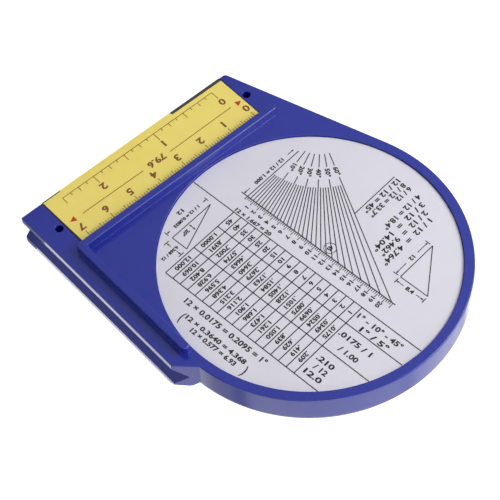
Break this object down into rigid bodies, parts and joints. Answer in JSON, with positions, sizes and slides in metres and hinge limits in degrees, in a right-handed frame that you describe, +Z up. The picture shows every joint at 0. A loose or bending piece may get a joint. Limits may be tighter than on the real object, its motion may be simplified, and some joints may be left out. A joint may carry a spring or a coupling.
{
  "type": "inclinometer",
  "caption": "Pendulum angle finder with a round dial, a flat magnetic base edge, a V-grooved side edge and an L-shaped fence on its back.",
  "frame": {"origin": "bottom centre of the instrument, on the plane of its base edge, halfway along its width and its depth", "axes": "+Z up with the instrument standing on its base edge, the dial faces -Y, the label and the fence face +Y, and the V-grooved edge is at -X"},
  "size_m": [0.1084, 0.0166, 0.1257],
  "materials": {
    "case_plastic": "smooth moulded, blue",
    "label_paper": "coated, printed",
    "magnet_ferrite": "ground ferrite",
    "adhesive": "soft adhesive bed",
    "sticker_film": "printed film, yellow",
    "dial_paper": "coated, printed",
    "clear_acrylic": "clear, polished",
    "ring_plastic": "smooth moulded, black",
    "brass": "turned",
    "washer_plastic": "natural nylon",
    "pin_steel": "turned",
    "pointer_paint": "red enamel",
    "weight_steel": "zinc plated",
    "rivet_aluminium": "bright",
    "print_ink": "printed figures and lines, black",
    "sticker_ink": "printed figures and lines, brown"
  },
  "bodies": {
    "case": {"housing": "case_plastic", "back_label": "label_paper", "ceramic_magnet": "magnet_ferrite", "magnet_tape": "adhesive", "magnet_label": "sticker_film", "dial_card": "dial_paper", "lens": "clear_acrylic", "lens_ring": "ring_plastic", "rear_bush": "brass", "front_bush": "brass", "rear_washer": "washer_plastic", "front_washer": "washer_plastic"},
    "pendulum": {"pivot_pin": "pin_steel", "pointer_hub": "brass", "pointer": "pointer_paint", "counterweight": "weight_steel", "weight_rivets": "rivet_aluminium"}
  },
  "joints": [
    {"name": "pointer_swing", "type": "hinge", "parent": "case", "child": "pendulum", "pos_m": [0.00275, 0, 0.0742], "axis": [0, 1, 0], "continuous": true}
  ]
}
